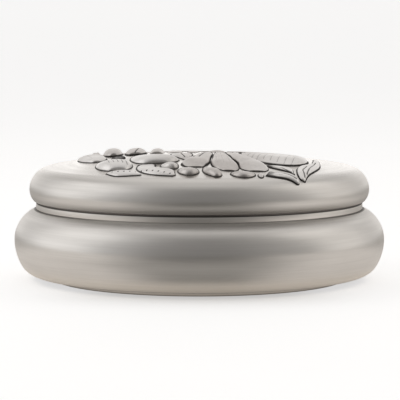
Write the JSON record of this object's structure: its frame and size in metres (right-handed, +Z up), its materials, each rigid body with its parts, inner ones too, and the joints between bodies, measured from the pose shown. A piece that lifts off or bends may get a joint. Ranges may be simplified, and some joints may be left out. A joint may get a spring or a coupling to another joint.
{
  "type": "round box with lift-off lid",
  "caption": "Round bulging box of satin silver on a low foot ring, with a narrow neck band and a lift-off domed lid carrying a high-relief spray of flowers, leaves and buds.",
  "frame": {"origin": "centre of the box's axis at the underside of the foot ring", "axes": "+Z up along the axis of the box, -Y towards the viewer of the picture, +X to the viewer's right"},
  "size_m": [0.18, 0.18, 0.0626],
  "materials": {
    "satin_silver": "satin silver, finely brushed round the box",
    "band_silver": "drawn silver strip, a little brighter than the shell",
    "relief_silver": "cast and chased silver, polished on the high places and oxidised dark in the recesses"
  },
  "bodies": {
    "base": {"base_bowl": "satin_silver", "foot_ring": "satin_silver", "neck_band": "band_silver", "inner_bezel": "band_silver"},
    "lid": {"lid_shell": "satin_silver", "lid_rim": "band_silver", "back_leaf": "relief_silver", "back_leaf_left": "relief_silver", "back_left_petal": "relief_silver", "back_petal": "relief_silver", "back_pod": "relief_silver", "back_right_petal": "relief_silver", "blossom_heart": "relief_silver", "bract_bud": "relief_silver", "broad_petal": "relief_silver", "curled_leaf": "relief_silver", "far_bud": "relief_silver", "far_leaf": "relief_silver", "front_berry": "relief_silver", "front_bud_left": "relief_silver", "front_bud_middle": "relief_silver", "front_petal": "relief_silver", "hollow_leaf": "relief_silver", "inner_bud_left": "relief_silver", "inner_leaf_left": "relief_silver", "inner_leaf_right": "relief_silver", "left_back_bud": "relief_silver", "left_petal": "relief_silver", "lower_leaf": "relief_silver", "rear_leaf": "relief_silver", "ribbed_pod": "relief_silver", "right_petal": "relief_silver", "scalloped_leaf_left": "relief_silver", "scalloped_leaf_right": "relief_silver", "slim_leaf": "relief_silver", "small_bud": "relief_silver", "smooth_pod": "relief_silver", "throat_leaf": "relief_silver"}
  },
  "joints": [
    {"name": "lid_lift", "type": "slide", "parent": "base", "child": "lid", "axis": [0, 0, 1], "range_m": [0, 0.08]}
  ]
}
